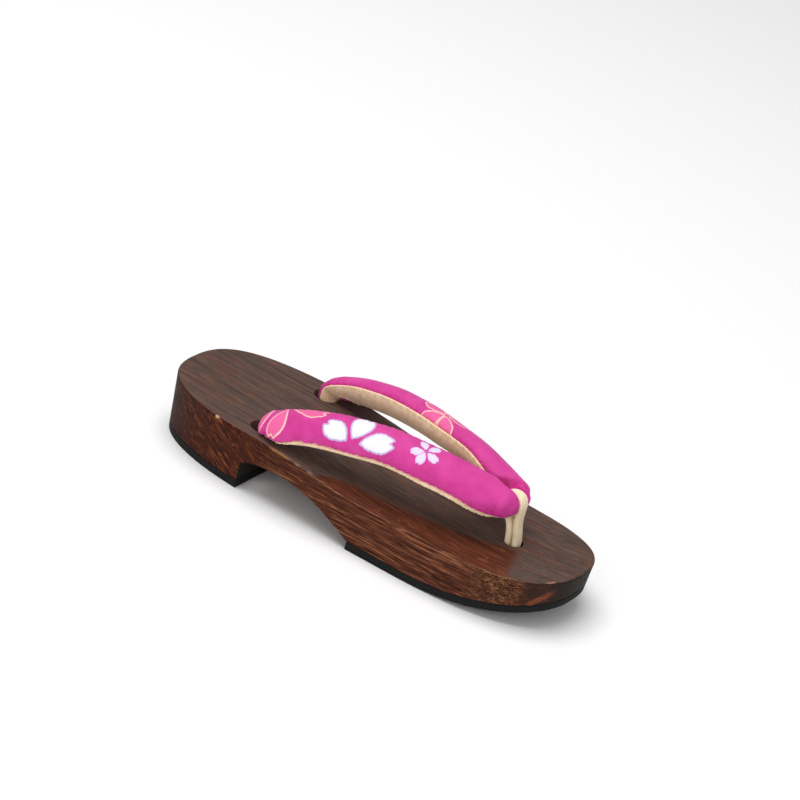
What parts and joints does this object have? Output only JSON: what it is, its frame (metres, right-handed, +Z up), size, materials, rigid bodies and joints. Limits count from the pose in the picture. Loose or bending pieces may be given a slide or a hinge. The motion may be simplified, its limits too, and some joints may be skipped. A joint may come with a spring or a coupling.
{
  "type": "geta sandal",
  "caption": "Wooden sandal with an arched, heeled base on rubber outsoles, a padded V-shaped cloth strap and a front thong.",
  "frame": {"origin": "middle of the footprint on the floor, under the centre of the outline", "axes": "+Y from toe to heel, +X to the wearer's left, +Z up"},
  "size_m": [0.084, 0.2399, 0.0601],
  "materials": {
    "wood": "burnt and brushed, satin oil",
    "rubber": "matt moulded",
    "printed_cloth": "printed satin crepe",
    "lining_cloth": "brushed cotton velveteen",
    "thong_cloth": "twilled cotton"
  },
  "bodies": {
    "root": {"wood_base": "wood", "heel_outsole": "rubber", "forefoot_outsole": "rubber", "strap_cover": "printed_cloth", "strap_lining": "lining_cloth", "front_thong": "thong_cloth"}
  },
  "joints": []
}
